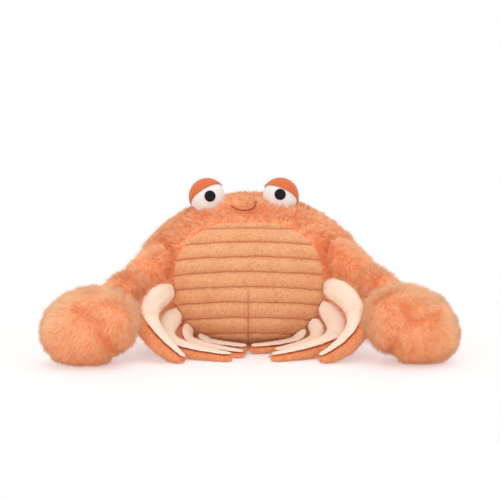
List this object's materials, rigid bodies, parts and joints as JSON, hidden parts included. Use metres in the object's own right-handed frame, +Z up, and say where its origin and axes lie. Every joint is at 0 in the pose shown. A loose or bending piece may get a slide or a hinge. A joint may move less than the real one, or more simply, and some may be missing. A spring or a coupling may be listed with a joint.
{
  "type": "plush crab",
  "caption": "Seated stuffed crab with a domed fur body, ribbed belly panel, ball eyes, pincer claws and bent lined legs.",
  "frame": {"origin": "middle of the footprint, on the floor", "axes": "+Z up, the face looks to -Y, +X is the viewer's right and the claw-to-claw width"},
  "size_m": [0.3988, 0.2072, 0.1699],
  "materials": {
    "body_fur": "long orange plush pile, about 11 mm, brushed in all directions",
    "limb_fur": "orange plush pile, about 8 mm, on arms and claws",
    "belly_pile": "short golden peach velour with stitched ribs",
    "lining_cloth": "smooth cream short-nap cloth",
    "back_pile": "short orange pile",
    "lid_felt": "smooth orange suede cloth",
    "eye_cloth": "smooth off-white jersey",
    "pupil_felt": "matte black",
    "thread": "dark orange stitching"
  },
  "bodies": {
    "root": {"body": "body_fur", "belly_panel": "belly_pile", "mouth_thread": "thread", "eye_ball_left": "eye_cloth", "eyelid_left": "lid_felt", "pupil_left": "pupil_felt", "arm_left": "limb_fur", "claw_left": "limb_fur", "eye_ball_right": "eye_cloth", "eyelid_right": "lid_felt", "pupil_right": "pupil_felt", "arm_right": "limb_fur", "claw_right": "limb_fur", "leg_1_left_lining": "lining_cloth", "leg_1_left_back": "back_pile", "leg_1_right_lining": "lining_cloth", "leg_1_right_back": "back_pile", "leg_2_left_lining": "lining_cloth", "leg_2_left_back": "back_pile", "leg_2_right_lining": "lining_cloth", "leg_2_right_back": "back_pile", "leg_3_left_lining": "lining_cloth", "leg_3_left_back": "back_pile", "leg_3_right_lining": "lining_cloth", "leg_3_right_back": "back_pile", "leg_4_left_lining": "lining_cloth", "leg_4_left_back": "back_pile", "leg_4_right_lining": "lining_cloth", "leg_4_right_back": "back_pile"}
  },
  "joints": []
}
